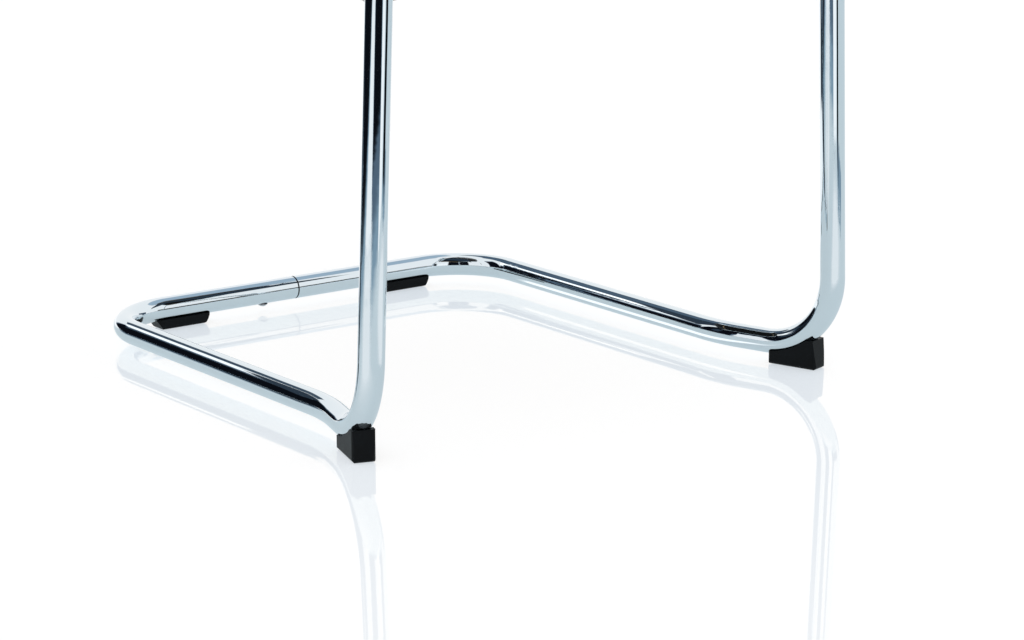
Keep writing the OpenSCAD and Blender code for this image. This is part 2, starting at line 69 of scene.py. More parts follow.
# ---- sizes of the part, in metres. Setbacks are counted forward from the crossbar axis ----
TUBE_R = 0.0125
TUBE_WALL = 0.002
BEND_R = 0.077
CORNER_R = 0.078
KICK_R = 0.180
RAIL_X = 0.244
FOOT_X = 0.284
ARM_X = 0.260
SEAT_RAIL_X = 0.190
BASE_LEN = 0.566
KICK_LEN = 0.128
AXIS_Z = 0.021
ARM_Z = 0.655
LEG_SETBACK = 0.110
SEAT_RAIL_Z = 0.420
SEAT_TILT = math.radians(2.5)
RAIL_TURN_SETBACK = 0.215
RAIL_END_SETBACK = 0.475
SEAM_GAP = 0.0006
SADDLE_T = 0.004
SHELL_T = 0.011
LIP_SETBACK = 0.520
LIP_LEN = 0.028
LIP_ANGLE = math.radians(30)
LIP_R = 0.045
BACK_SETBACK = 0.088
BACK_BEND_R = 0.095
LUMBAR_H = 0.180
LUMBAR_LEAN = math.radians(10.5)
LUMBAR_R = 0.420
BACK_LEAN = math.radians(14)
BACK_TOP_Z = 0.872
SEAT_FRONT_W = 0.446
SHELL_W = 0.436
BACK_TOP_W = 0.400
SEAT_CORNER_R = 0.048
BACK_CORNER_R = 0.062
PANEL_T = 0.005
SOFT_GAP = 0.0003
PAD_LEN = 0.262
PAD_W = 0.042
PAD_H = 0.011
PAD_FLANK = 0.0105
PAD_CROWN_R = 0.080
PLIES = 9
# The covers of seat and back meet this far before the seat starts to turn up, with a gap
FOLD_LEAD = 0.004
COVER_GAP = 0.001
SEAT_SEAM_H = 0.028
BACK_SEAM_H = 0.021
# The crossbar axis lies this far behind the middle of the part
CROSSBAR_Y = (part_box("crossbar_sleeve")[0].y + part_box("crossbar_sleeve")[1].y) / 2


# ---- small tools ----

def unit(v):
    """A vector, or each row of an array, at a length of 1."""
    return v / np.linalg.norm(v, axis=-1, keepdims=True)


def rounded_path(corners, radii, step=math.radians(2)):
    """Points along a polyline with arcs for corners, and the indices where arcs start or end."""
    corners = [np.array(c, float) for c in corners]
    points = [corners[0]]
    joins = []
    for i in range(1, len(corners) - 1):
        along = unit(corners[i] - corners[i - 1])
        away = unit(corners[i + 1] - corners[i])
        turn = math.acos(float(np.clip(along @ away, -1, 1)))
        start = corners[i] - radii[i] * math.tan(turn / 2) * along
        inward = unit(away - (away @ along) * along)
        steps = max(2, round(turn / step))
        joins += [len(points), len(points) + steps]
        for k in range(steps + 1):
            a = turn * k / steps
            points.append(start + radii[i] * (math.sin(a) * along + (1 - math.cos(a)) * inward))
    points.append(corners[-1])
    return np.array(points), joins


def tangents(points):
    """Directions along a path: at a bend, the mean of the ones before and after it."""
    steps = unit(np.diff(points, axis=0))
    return unit(np.vstack([steps, steps[-1:]]) + np.vstack([steps[:1], steps]))


def carried_frames(points):
    """Two directions across a path at each point, carried along it without twist."""
    t = tangents(points)
    side = unit(np.cross([0.0, 0.0, 1.0] if abs(t[0][2]) < 0.9 else [0.0, 1.0, 0.0], t[0]))
    sides = []
    for tangent in t:
        side = unit(side - (side @ tangent) * tangent)
        sides.append(side)
    sides = np.array(sides)
    return sides, np.cross(t, sides)


def new_object(name, data):
    made = bpy.data.objects.new(name, data)
    scene.collection.objects.link(made)
    return made


def new_mesh_object(name, vertices, faces):
    mesh = bpy.data.meshes.new(name)
    mesh.from_pydata([tuple(map(float, v)) for v in vertices], [], faces)
    mesh.validate()
    mesh.polygons.foreach_set("use_smooth", [True] * len(mesh.polygons))
    mesh.update()
    return new_object(name, mesh)


def face_outward(piece):
    bm = bmesh.new()
    bm.from_mesh(piece.data)
    bmesh.ops.recalc_face_normals(bm, faces=bm.faces)
    bm.to_mesh(piece.data)
    bm.free()


def point_values(piece, name, values):
    """Keeps a number or a vector on each vertex, for the materials to read."""
    values = np.asarray(values, np.float32)
    kind = "FLOAT" if values.ndim == 1 else "FLOAT_VECTOR"
    layer = piece.data.attributes.new(name, kind, "POINT")
    layer.data.foreach_set("value" if values.ndim == 1 else "vector", values.ravel())


def ring_faces(first, second, count):
    """Quads between two rings of vertices, given by the index of their first vertex."""
    return [(first + k, first + (k + 1) % count, second + (k + 1) % count, second + k)
            for k in range(count)]


def tube_faces(rings, count, first=0):
    """Faces of a row of rings, closed at both ends. first is the index of their first vertex."""
    faces = [face for i in range(rings - 1)
             for face in ring_faces(first + i * count, first + (i + 1) * count, count)]
    faces.append(tuple(range(first, first + count))[::-1])
    faces.append(tuple(range(first + (rings - 1) * count, first + rings * count)))
    return faces


def length_along(points):
    """The length from the first point of a line to each of its points."""
    return np.concatenate([[0], np.cumsum(np.linalg.norm(np.diff(points, axis=0), axis=1))])


def at_lengths(where, at, values):
    """Vectors that are known at some lengths of a line, at other lengths of it."""
    return np.stack([np.interp(where, at, values[:, k]) for k in range(3)], -1)


def swept_rings(points, radii, sides, ups, count):
    """Vertices of rings round a path, one radius for each point."""
    angle = np.linspace(0, 2 * math.pi, count, endpoint=False)
    return np.concatenate([
        p + r * (np.cos(angle)[:, None] * s + np.sin(angle)[:, None] * u)
        for p, r, s, u in zip(points, radii, sides, ups)])


def dress(piece, material):
    """Gives a piece one material all over."""
    piece.data.materials.clear()
    piece.data.materials.append(material)
    for polygon in piece.data.polygons:
        polygon.material_index = 0


# ---- materials ----

def empty_tree(block):
    """The node tree of a new material or world, without its nodes."""
    block.use_nodes = True
    block.node_tree.nodes.clear()
    return block.node_tree


def feed(tree, socket, value):
    """Links an input to another node's output, or sets a plain value on the input itself."""
    if isinstance(value, bpy.types.NodeSocket):
        tree.links.new(value, socket)
    else:
        socket.default_value = value


def set_up(tree, node, **values):
    """Keywords set a node's properties, or feed its inputs where no property has the name."""
    for name, value in values.items():
        if hasattr(node, name):
            setattr(node, name, value)
        else:
            feed(tree, node.inputs[name.replace("_", " ")], value)


def add_node(tree, kind, *ordered, **named):
    """A new node, with its inputs fed in their order or by name."""
    made = tree.nodes.new("ShaderNode" + kind)
    set_up(tree, made, **named)
    for socket, value in zip(made.inputs, ordered):
        feed(tree, socket, value)
    return made


def output_of(tree, kind, *ordered, output=0, **named):
    """An output of a new node: the first one, or the one that is named."""
    return add_node(tree, kind, *ordered, **named).outputs[output]


def new_material(name):
    """A new material with a plain shader, still to be set up."""
    material = bpy.data.materials.new(name)
    tree = empty_tree(material)
    shader = add_node(tree, "BsdfPrincipled")
    add_node(tree, "OutputMaterial", Surface=shader.outputs["BSDF"])
    return material, tree, shader


def stretched(tree, place, stretch):
    return output_of(tree, "Mapping", Vector=place, Scale=stretch)


def object_place(tree, stretch=(1, 1, 1)):
    """Object coordinates, stretched along each axis."""
    return stretched(tree, output_of(tree, "TexCoord", output="Object"), stretch)


def point_value(tree, name, output="Fac"):
    """What point_values has kept on the vertices."""
    return output_of(tree, "Attribute", output=output, attribute_name=name)


def noise(tree, place, scale, detail, roughness=0.5):
    return output_of(tree, "TexNoise", Vector=place, Scale=scale, Detail=detail,
                     Roughness=roughness)


def cells(tree, place, scale, feature="F1"):
    return output_of(tree, "TexVoronoi", feature=feature, Vector=place, Scale=scale)


def ranged(tree, value, low, high, start=0.0, end=1.0):
    """A value between start and end, carried over to the range from low to high."""
    return output_of(tree, "MapRange", value, start, end, low, high)


def blended(tree, factor, low, high):
    """A colour between two colours, each given as three numbers or as a socket."""
    made = add_node(tree, "Mix", data_type="RGBA", Factor=factor)
    for name, colour in (("A", low), ("B", high)):
        socket = next(i for i in made.inputs if i.name == name and i.type == "RGBA")
        feed(tree, socket, (*colour, 1) if isinstance(colour, tuple) else colour)
    return next(o for o in made.outputs if o.type == "RGBA")


def added(tree, first, second, operation="ADD"):
    return output_of(tree, "Math", first, second, operation=operation)


def bump(tree, shader, height, strength, distance):
    set_up(tree, shader, Normal=output_of(tree, "Bump", Height=height, Strength=strength,
                                          Distance=distance))


def times(colour, factor):
    return tuple(factor * c for c in colour)


def chrome():
    """Bright plate: cool tint, faint haze from polishing, a trace of waviness and dull cut ends."""
    material, tree, shader = new_material("chrome")
    place = object_place(tree)
    haze = noise(tree, place, scale=60.0, detail=4.0)
    cut = point_value(tree, "cut")
    plate = blended(tree, haze, (0.73, 0.80, 0.845), (0.76, 0.83, 0.875))
    set_up(tree, shader, Metallic=1.0,
           Base_Color=blended(tree, cut, plate, (0.03, 0.035, 0.04)),
           Roughness=added(tree, ranged(tree, haze, 0.02, 0.05), ranged(tree, cut, 0.0, 0.5)))
    bump(tree, shader, noise(tree, place, scale=35.0, detail=2.0), strength=0.012, distance=0.01)
    return material


def moulded_black(name, grain, tone, rough):
    """Black plastic with spark-eroded grain, soft mottling and rubbed patches."""
    material, tree, shader = new_material(name)
    place = object_place(tree)
    patches = noise(tree, place, scale=55.0, detail=4.0, roughness=0.6)
    rubbed = ranged(tree, patches, 0, 1, start=0.35, end=0.7)
    set_up(tree, shader, Base_Color=blended(tree, rubbed, tone, times(tone, 2.1)),
           Roughness=ranged(tree, patches, *rough), Specular_IOR_Level=0.12)
    fine = noise(tree, place, scale=grain, detail=2.0, roughness=0.6)
    bump(tree, shader, fine, strength=0.25, distance=0.0003)
    return material


def leather():
    """Black hide: pebbled grain, finer pores, creases and a worn, uneven finish."""
    material, tree, shader = new_material("black_leather")
    place = object_place(tree)
    worn = noise(tree, place, scale=90.0, detail=2.0)
    pebbles = cells(tree, place, 620.0, "SMOOTH_F1")
    edges = cells(tree, place, 430.0, "DISTANCE_TO_EDGE")
    pores = noise(tree, place, scale=2400.0, detail=2.0)
    creases = noise(tree, object_place(tree, (1, 2.6, 2.6)), scale=26.0, detail=5.0, roughness=0.62)
    tone = added(tree, ranged(tree, worn, 0, 0.6), ranged(tree, edges, 0.4, 0, end=0.08))
    gloss = added(tree, worn, ranged(tree, edges, 0.25, 0, end=0.06))
    set_up(tree, shader, Roughness=ranged(tree, gloss, 0.36, 0.56), Specular_IOR_Level=0.34,
           Base_Color=blended(tree, tone, (0.007, 0.007, 0.0075), (0.017, 0.0168, 0.017)))
    height = ranged(tree, edges, 0.0, 0.55, end=0.12)
    for relief, low, high in ((pebbles, 0.25, 0.0), (pores, 0.0, 0.12), (creases, 0.0, 1.6)):
        height = added(tree, height, ranged(tree, relief, low, high))
    bump(tree, shader, height, strength=0.42, distance=0.0009)
    return material


def plywood():
    """Lacquered beech: flecked long grain on the faces and stacked veneers on the edges."""
    material, tree, shader = new_material("beech_ply")
    flat = point_value(tree, "flat", "Vector")
    depth = point_value(tree, "depth")
    grain_place = stretched(tree, flat, (1.0, 0.08, 1.0))
    broad = noise(tree, grain_place, scale=22.0, detail=5.0, roughness=0.6)
    fine = noise(tree, grain_place, scale=420.0, detail=3.0, roughness=0.65)
    flecks = ranged(tree, cells(tree, stretched(tree, flat, (1.0, 0.22, 1.0)), 520.0), 1, 0,
                    start=0.05, end=0.22)
    face = blended(tree, broad, (0.50, 0.315, 0.175), (0.62, 0.42, 0.25))
    face = blended(tree, ranged(tree, fine, 0, 0.55), face, (0.40, 0.235, 0.125))
    face = blended(tree, added(tree, flecks, 0.5, "MULTIPLY"), face, (0.30, 0.165, 0.085))
    layers = added(tree, added(tree, depth, PLIES * math.pi, "MULTIPLY"), 0.0, "SINE")
    layer = ranged(tree, layers, 0, 1, start=-0.25, end=0.25)
    edge = blended(tree, layer, (0.27, 0.15, 0.08), (0.60, 0.41, 0.245))
    edge = blended(tree, ranged(tree, fine, 0, 0.35), edge, (0.22, 0.12, 0.06))
    near_top = ranged(tree, depth, 0, 1, start=0.015, end=0.05)
    near_low = ranged(tree, depth, 1, 0, start=0.95, end=0.985)
    between = added(tree, near_top, near_low, "MULTIPLY")
    set_up(tree, shader, Base_Color=blended(tree, between, face, edge),
           Roughness=ranged(tree, broad, 0.30, 0.42), Specular_IOR_Level=0.35,
           Coat_Weight=0.25, Coat_Roughness=0.22)
    bump(tree, shader, added(tree, fine, flecks), strength=0.12, distance=0.0003)
    return material


def plated(name, colour, rough):
    """Bright or dull plate with a little uneven colour and fine turning marks."""
    material, tree, shader = new_material(name)
    cloud = noise(tree, object_place(tree), scale=220.0, detail=3.0)
    set_up(tree, shader, Metallic=1.0, Roughness=ranged(tree, cloud, *rough),
           Base_Color=blended(tree, cloud, times(colour, 0.82), colour))
    marks = noise(tree, object_place(tree, (1, 1, 8)), scale=900.0, detail=2.0)
    bump(tree, shader, marks, strength=0.1, distance=0.0002)
    return material


def woven(name, colour, scale):
    """Thin cloth: two crossing sets of threads."""
    material, tree, shader = new_material(name)
    place = object_place(tree)
    threads = [output_of(tree, "TexWave", output="Fac", bands_direction=direction, Vector=place,
                         Scale=scale, Distortion=0.4) for direction in ("X", "Y")]
    weave = added(tree, *threads, "MAXIMUM")
    fuzzy = added(tree, weave, noise(tree, place, scale=300.0, detail=4.0), "MULTIPLY")
    set_up(tree, shader, Base_Color=blended(tree, fuzzy, times(colour, 0.4), colour),
           Roughness=0.9, Specular_IOR_Level=0.15)
    bump(tree, shader, weave, strength=0.5, distance=0.0004)
    return material


def thread():
    """Bonded sewing thread with its twist."""
    material, tree, shader = new_material("thread")
    twist = noise(tree, object_place(tree), scale=1500.0, detail=2.0)
    set_up(tree, shader, Roughness=0.5,
           Base_Color=blended(tree, twist, (0.012, 0.012, 0.013), (0.04, 0.04, 0.042)))
    bump(tree, shader, twist, strength=0.4, distance=0.0002)
    return material


CHROME = chrome()
BLACK_PLASTIC = moulded_black("black_plastic", grain=1800.0, tone=(0.0018, 0.0025, 0.0034),
                              rough=(0.30, 0.48))
SOFT_BLACK = moulded_black("arm_pad_black", grain=2600.0, tone=(0.006, 0.006, 0.0065),
                           rough=(0.45, 0.62))
LEATHER = leather()
PLYWOOD = plywood()
ZINC = plated("zinc_screw", (0.60, 0.61, 0.63), rough=(0.22, 0.38))
STEEL = plated("plain_steel", (0.06, 0.06, 0.065), rough=(0.5, 0.65))
LINER = woven("liner_cloth", (0.009, 0.009, 0.0095), scale=190.0)
THREAD = thread()


# ---- frame tubes ----

def rail_z(setback):
    return SEAT_RAIL_Z - (RAIL_END_SETBACK - setback) * math.tan(SEAT_TILT)


def half_frame_path(side):
    """Axis of one half frame, from the seam to the front end of its seat rail."""
    corners = [
        (SEAM_GAP / 2, 0, AXIS_Z),
        (RAIL_X, 0, AXIS_Z),
        (RAIL_X, KICK_LEN - BASE_LEN, AXIS_Z),
        (FOOT_X, -BASE_LEN, AXIS_Z),
        (ARM_X, -BASE_LEN, ARM_Z),
        (ARM_X, -LEG_SETBACK, ARM_Z),
        (ARM_X, -LEG_SETBACK, rail_z(LEG_SETBACK)),
        (SEAT_RAIL_X, -RAIL_TURN_SETBACK, rail_z(RAIL_TURN_SETBACK)),
        (SEAT_RAIL_X, -RAIL_END_SETBACK, SEAT_RAIL_Z)]
    radii = [0, CORNER_R, KICK_R, BEND_R, BEND_R, BEND_R, BEND_R, BEND_R, 0]
    points, joins = rounded_path(corners, radii)
    return points * (side, 1, 1) + (0, CROSSBAR_Y, 0), joins


def frame_tube(name, side):
    """One half frame as a smooth tube, open at both ends, with a wall and rounded rims."""
    count = 72
    rim = 0.0005
    bore = TUBE_R - TUBE_WALL
    blind_r = 0.02 * bore
    bore_depth = 0.080
    # The faint ridge that the bending die leaves
    mark_len = 0.0008
    mark_h = 0.000007
    # Close rings next to every change keep the straight stretches free of bent normals
    hold = 0.0022
    beside_rim = 0.0001
    axis, joins = half_frame_path(side)
    last = len(axis) - 1
    start, end = unit(axis[1] - axis[0]), unit(axis[-1] - axis[-2])
    quarter = [math.radians(a) for a in (0, 30, 60, 90)]

    # Each end runs from the blind end of its bore out over the rim to the outside
    def end_rings(tip, inward, i):
        rings = [(tip + bore_depth * inward, r, i) for r in (blind_r, bore)]
        rings += [(tip + rim * (1 - math.sin(a)) * inward, bore + rim * (1 - math.cos(a)), i)
                  for a in quarter]
        rings += [(tip + rim * (1 - math.cos(a)) * inward, TUBE_R - rim * (1 - math.sin(a)), i)
                  for a in quarter]
        return rings

    # Every ring has its middle, its radius and the point of the axis that it belongs to
    rings = end_rings(axis[0], start, 0)
    at_end = len(rings)
    steps = (beside_rim, hold, 2 * hold)
    rings += [(axis[0] + (rim + k) * start, TUBE_R, 0) for k in steps]
    for i in range(1, last):
        if i not in joins:
            rings.append((axis[i], TUBE_R, i))
            continue
        back, ahead = unit(axis[i] - axis[i - 1]), unit(axis[i + 1] - axis[i])
        if i in joins[0::2]:
            rings += [(axis[i] - k * hold * back, TUBE_R, i) for k in (2, 1)]
        rings += [(axis[i] - mark_len * back, TUBE_R, i), (axis[i], TUBE_R + mark_h, i),
                  (axis[i] + mark_len * ahead, TUBE_R, i)]
        if i in joins[1::2]:
            rings += [(axis[i] + k * hold * ahead, TUBE_R, i) for k in (1, 2)]
    rings += [(axis[-1] - (rim + k) * end, TUBE_R, last) for k in steps[::-1]]
    rings += end_rings(axis[-1], -end, last)[::-1]
    middles, radii, at = zip(*rings)
    sides, ups = carried_frames(axis)
    vertices = swept_rings(middles, radii, sides[list(at)], ups[list(at)], count)
    tube = new_mesh_object(name, vertices, tube_faces(len(rings), count))
    cut = np.zeros((len(rings), count))
    cut[:at_end] = cut[-at_end:] = 1
    point_values(tube, "cut", cut.ravel())
    dress(tube, CHROME)
    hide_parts(name.replace("chrome_", ""))
    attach(tube, "root")


frame_tube("chrome_left_frame_tube", -1)
frame_tube("chrome_right_frame_tube", 1)


# ---- side outline of the shell and what lies on it ----

def seat_z(setback):
    return rail_z(setback) + (TUBE_R + SADDLE_T + SHELL_T) / math.cos(SEAT_TILT)


class Outline:
    """The side outline, from the lip to the top of the back, by the length along it."""

    def __init__(self):
        lip_corner = np.array([0, -LIP_SETBACK, seat_z(LIP_SETBACK)])
        lip_end = lip_corner - LIP_LEN * np.array([0, math.cos(LIP_ANGLE), math.sin(LIP_ANGLE)])
        seat_corner = np.array([0, -BACK_SETBACK, seat_z(BACK_SETBACK)])
        lumbar = seat_corner + LUMBAR_H * np.array([0, math.tan(LUMBAR_LEAN), 1])
        back_lean = (BACK_TOP_Z - lumbar[2]) * math.tan(BACK_LEAN)
        back_top = np.array([0, lumbar[1] + back_lean, BACK_TOP_Z])
        line, joins = rounded_path([lip_end, lip_corner, seat_corner, lumbar, back_top],
                                   [0, LIP_R, BACK_BEND_R, LUMBAR_R, 0], math.radians(1))
        self.line = line + (0, CROSSBAR_Y, 0)
        ahead = tangents(self.line)
        self.up = np.stack([np.zeros(len(ahead)), -ahead[:, 2], ahead[:, 1]], 1)
        self.at = length_along(line)
        self.length = self.at[-1]
        # Where the covers of seat and back meet
        self.fold = self.at[joins[2]] - FOLD_LEAD

    def up_at(self, s):
        return unit(at_lengths(s, self.at, self.up))

    def place(self, s, x, h):
        """Points at length s, distance x from the middle and height h over the sitting side."""
        s, x, h = np.broadcast_arrays(s, x, h)
        point = at_lengths(s, self.at, self.line) + h[..., None] * self.up_at(s)
        return point + np.stack([x, np.zeros_like(x), np.zeros_like(x)], -1)


OUTLINE = Outline()


def half_width(s):
    """Half the width of the shell at length s, with its rounded corners."""
    s = np.asarray(s, float)
    front, rear, top = SEAT_FRONT_W / 2, SHELL_W / 2, BACK_TOP_W / 2
    up_the_back = np.clip((s - OUTLINE.fold) / (OUTLINE.length - OUTLINE.fold), 0, 1)
    straight = np.where(s < OUTLINE.fold, front + (rear - front) * s / OUTLINE.fold,
                        rear + (top - rear) * up_the_back)
    low = np.clip(SEAT_CORNER_R - s, 0, SEAT_CORNER_R)
    high = np.clip(BACK_CORNER_R - (OUTLINE.length - s), 0, BACK_CORNER_R)
    return (straight - (SEAT_CORNER_R - np.sqrt(SEAT_CORNER_R ** 2 - low ** 2))
            - (BACK_CORNER_R - np.sqrt(BACK_CORNER_R ** 2 - high ** 2)))


def ends_spaced(start, end, cell):
    """Positions from start to end, a quarter closer together near both ends."""
    t = np.linspace(0, 1, round((end - start) / cell) + 1)
    eased = t - 0.25 * np.sin(2 * math.pi * t) / (2 * math.pi)
    return start + (end - start) * eased


class Slab:
    """A closed sheet on the outline. Its border runs through the given pairs of height and
    inset, from the top face down to the underside."""

    def __init__(self, name, start, end, border_profile, cell, margin=0.0):
        self.margin = margin
        self.profile = border_profile
        self.middle, self.half_len = (start + end) / 2, (end - start) / 2
        self.s = ends_spaced(start + margin, end - margin, cell)
        self.t = ends_spaced(-1, 1, cell / (SHELL_W / 2))
        m, n = len(self.s), len(self.t)
        self.index = np.arange(m * n).reshape(m, n)
        self.border = np.concatenate([self.index[0, :-1], self.index[:-1, -1],
                                      self.index[-1, :0:-1], self.index[:0:-1, 0]])
        layers = [self.layer(height, inset) for height, inset in border_profile]
        ring = len(self.border)
        walls = [layer[self.border] for layer in layers[1:-1]]
        self.vertices = np.concatenate([layers[0], *walls, layers[-1]])
        self.base = np.arange(m * n) + m * n + len(walls) * ring
        loops = [self.border, *(np.arange(ring) + m * n + k * ring for k in range(len(walls))),
                 self.base[self.border]]
        i = self.index
        top = np.stack([i[:-1, :-1], i[:-1, 1:], i[1:, 1:], i[1:, :-1]], -1).reshape(-1, 4)
        underside = self.base[top[:, [0, 3, 2, 1]]]
        border_faces = [np.stack([np.roll(upper, -1), upper, lower, np.roll(lower, -1)], 1)
                        for upper, lower in zip(loops[:-1], loops[1:])]
        faces = np.concatenate([np.stack([top, underside], 1).reshape(-1, 4), *border_faces])
        self.piece = new_mesh_object(name, self.vertices, faces.tolist())

    def layer(self, height, inset):
        """The whole grid at one height, drawn in by an inset all round."""
        s, t = np.meshgrid(self.s, self.t, indexing="ij")
        drawn_in = self.middle + (s - self.middle) * (1 - inset / self.half_len)
        x = t * (half_width(s) - self.margin - inset)
        return OUTLINE.place(drawn_in, x, height).reshape(-1, 3)

    def lay_flat(self):
        """Keeps for each vertex where it lies on the flat sheet, and how deep, from 0 to 1.
        The sheet's top face is at height 0."""
        s, t = np.meshgrid(self.s, self.t, indexing="ij")
        flat = np.stack([t * half_width(s), s, np.zeros_like(s)], -1).reshape(-1, 3)
        heights = [height for height, _ in self.profile]
        walls = [flat[self.border] + (0, 0, height) for height in heights[1:-1]]
        places = np.concatenate([flat, *walls, flat + (0, 0, heights[-1])])
        point_values(self.piece, "flat", places)
        point_values(self.piece, "depth", places[:, 2] / heights[-1])

    def write(self, vertices):
        self.vertices = vertices
        self.piece.data.vertices.foreach_set("co", np.asarray(vertices, np.float32).ravel())
        self.piece.data.update()

    def upholster(self, replaced):
        """Rounds the sheet off, covers it with leather and hides the nodes it stands for."""
        divide = self.piece.modifiers.new("smooth", "SUBSURF")
        divide.levels = divide.render_levels = 1
        dress(self.piece, LEATHER)
        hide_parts(*replaced)
        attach(self.piece, "root")

    def surface(self):
        """The finished surface, for placing stitches on it."""
        return BVHTree.FromObject(self.piece, bpy.context.evaluated_depsgraph_get())


class Pad(Slab):
    """An upholstered pad: a top panel over a boxing strip, sewn down along rows."""

    def __init__(self, name, start, end, seam_height, rows):
        lean = 0.003
        wall_rings = 5
        up_the_wall = np.linspace(1, 0, wall_rings)
        walls = [(SOFT_GAP + (seam_height - SOFT_GAP) * t, lean * t) for t in up_the_wall]
        super().__init__(name, start, end, walls, cell=0.0075, margin=0.001)
        self.held = {int(i) for i in [*self.border, *self.base]}
        self.rows = [int(np.argmin(np.abs(self.s - s))) for s in rows]
        for row in self.rows:
            self.sew_down(row)

    def sew_down(self, row):
        """Holds a line of stitching across the pad at a depth under its top."""
        depth = 0.006
        fade = 0.06
        line = self.index[row]
        self.held.update(int(i) for i in line[1:-1])
        vertices = self.vertices.copy()
        taper = np.clip((1 - np.abs(self.t)) / fade, 0, 1)[:, None]
        vertices[line] -= depth * taper * OUTLINE.up_at(self.s[row])
        self.write(vertices)

    def inflate(self, limit):
        """Lets the cover swell between its seams as cloth, up to a limit."""
        frames = 20
        piece = self.piece
        group = piece.vertex_groups.new(name="seams")
        group.add(sorted(self.held), 1.0, "REPLACE")
        cloth = piece.modifiers.new("cloth", "CLOTH")
        settings = cloth.settings
        settings.quality = 6
        settings.mass = 0.25
        settings.tension_stiffness = settings.compression_stiffness = 12.0
        settings.shear_stiffness = 6.0
        settings.bending_stiffness = 1.5
        settings.shrink_min = -0.02
        settings.use_pressure = True
        settings.uniform_pressure_force = 4.0
        settings.vertex_group_mass = "seams"
        settings.effector_weights.gravity = 0
        cloth.collision_settings.use_collision = False
        cloth.point_cache.frame_start = 1
        cloth.point_cache.frame_end = frames
        for frame_number in range(1, frames + 1):
            scene.frame_set(frame_number)
        result = piece.evaluated_get(bpy.context.evaluated_depsgraph_get()).data
        swollen = np.zeros(len(result.vertices) * 3, np.float32)
        result.vertices.foreach_get("co", swollen)
        piece.modifiers.clear()
        piece.vertex_groups.clear()
        scene.frame_set(1)
        move = swollen.reshape(-1, 3).astype(float) - self.vertices
        far = np.maximum(np.linalg.norm(move, axis=1), 1e-9)
        self.write(self.vertices + move * (limit * np.tanh(far / limit) / far)[:, None])


def closed(loop):
    return np.vstack([loop, loop[:1]])


def resampled_loop(loop, spacing):
    """A closed loop with even spacing, a little smoothed."""
    around = closed(loop)
    at = length_along(around)
    even = np.linspace(0, at[-1], round(at[-1] / spacing), endpoint=False)
    line = at_lengths(even, at, around)
    for _ in range(2):
        line = (np.roll(line, 1, 0) + 2 * line + np.roll(line, -1, 0)) / 4
    return line


def trim(name, vertices, faces, material):
    """A piece of the cushions' trim, which stands for no node."""
    piece = new_mesh_object(name, vertices, faces)
    face_outward(piece)
    dress(piece, material)
    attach(piece, "root")


def piping(name, loop):
    """A covered cord along a closed seam."""
    radius = 0.0026
    count = 12
    loop = resampled_loop(loop, spacing=0.005)
    ahead = unit(np.roll(loop, -1, 0) - np.roll(loop, 1, 0))
    outward = loop - loop.mean(0)
    side = unit(outward - (outward * ahead).sum(1)[:, None] * ahead)
    vertices = swept_rings(loop, np.full(len(loop), radius), side, np.cross(ahead, side), count)
    faces = [face for i in range(len(loop))
             for face in ring_faces(i * count, (i + 1) % len(loop) * count, count)]
    trim(name, vertices, faces, LEATHER)


def landed(spots, surface, toward):
    """Points carried straight onto a surface, or None where one of them misses it."""
    reach = 0.03
    found = []
    for spot in spots:
        up = toward(spot)
        hit = surface.ray_cast(Vector(spot + reach * up), Vector(-up), 2 * reach)[0]
        if hit is None:
            return None
        found.append(np.array(hit))
    return np.array(found)


def stitches(name, runs, surface, toward):
    """Rows of sewing stitches laid on a surface, each a short thread with sunk ends."""
    pitch = 0.0056
    length = 0.0042
    radius = 0.00042
    count = 6
    # Along one stitch: places as shares of its length, heights and sizes as shares of its radius
    places = np.array([0, 0.15, 0.5, 0.85, 1])
    heights = np.array([-0.6, 0.1, 0.45, 0.1, -0.6])
    sizes = np.array([0.45, 0.9, 1, 0.9, 0.45])
    vertices, faces = [], []
    for run in runs:
        at = length_along(run)
        for k in range(int(at[-1] / pitch)):
            spots = landed(at_lengths(k * pitch + places * length, at, run), surface, toward)
            if spots is None:
                continue
            up = toward(spots[2])
            line = spots + radius * heights[:, None] * up
            ahead = unit(line[-1] - line[0])
            side = unit(np.cross(ahead, up))
            faces += tube_faces(len(line), count, first=len(vertices))
            vertices += list(swept_rings(line, radius * sizes, [side] * len(line),
                                         [np.cross(side, ahead)] * len(line), count))
    trim(name, vertices, faces, THREAD)


def inner_loop(slab, inset, height):
    """A closed line a little inside the border of a slab."""
    return closed(resampled_loop(slab.layer(height, inset)[slab.border], spacing=0.004))


def toward_sitter(point):
    """Direction square to the outline at the nearest point of it."""
    nearest = int(np.argmin(np.linalg.norm(OUTLINE.line[:, 1:] - point[1:], axis=1)))
    return OUTLINE.up[nearest]


def toward_back(point):
    return -toward_sitter(point)


def upholstery(name, start, end, seam_height, shares, limit, replaced):
    """A pad with piping round its top panel and stitching beside every seam. Its rows of
    stitching are at the given shares of its length."""
    beside_piping = 0.0095
    beside_row = 0.0032
    row_inset = 0.013
    row_points = 160
    pad = Pad(name, start, end, seam_height, [start + (end - start) * share for share in shares])
    pad.inflate(limit)
    pad.upholster(replaced)
    piping(name.replace("cushion", "piping"), pad.vertices[pad.border])
    runs = [inner_loop(pad, beside_piping, seam_height)]
    for row in pad.rows:
        x = np.linspace(-1, 1, row_points) * (half_width(pad.s[row]) - row_inset)
        for beside in (-beside_row, beside_row):
            runs.append(OUTLINE.place(pad.s[row] + beside, x, seam_height))
    stitches(name.replace("cushion", "stitches"), runs, pad.surface(), toward_sitter)


def rounded_edge(radius, height, step):
    """Heights and insets down a rounded upper edge that starts at a height."""
    arc = [math.radians(a) for a in range(0, 91, step)]
    return [(height - radius * (1 - math.cos(a)), radius * (1 - math.sin(a))) for a in arc]


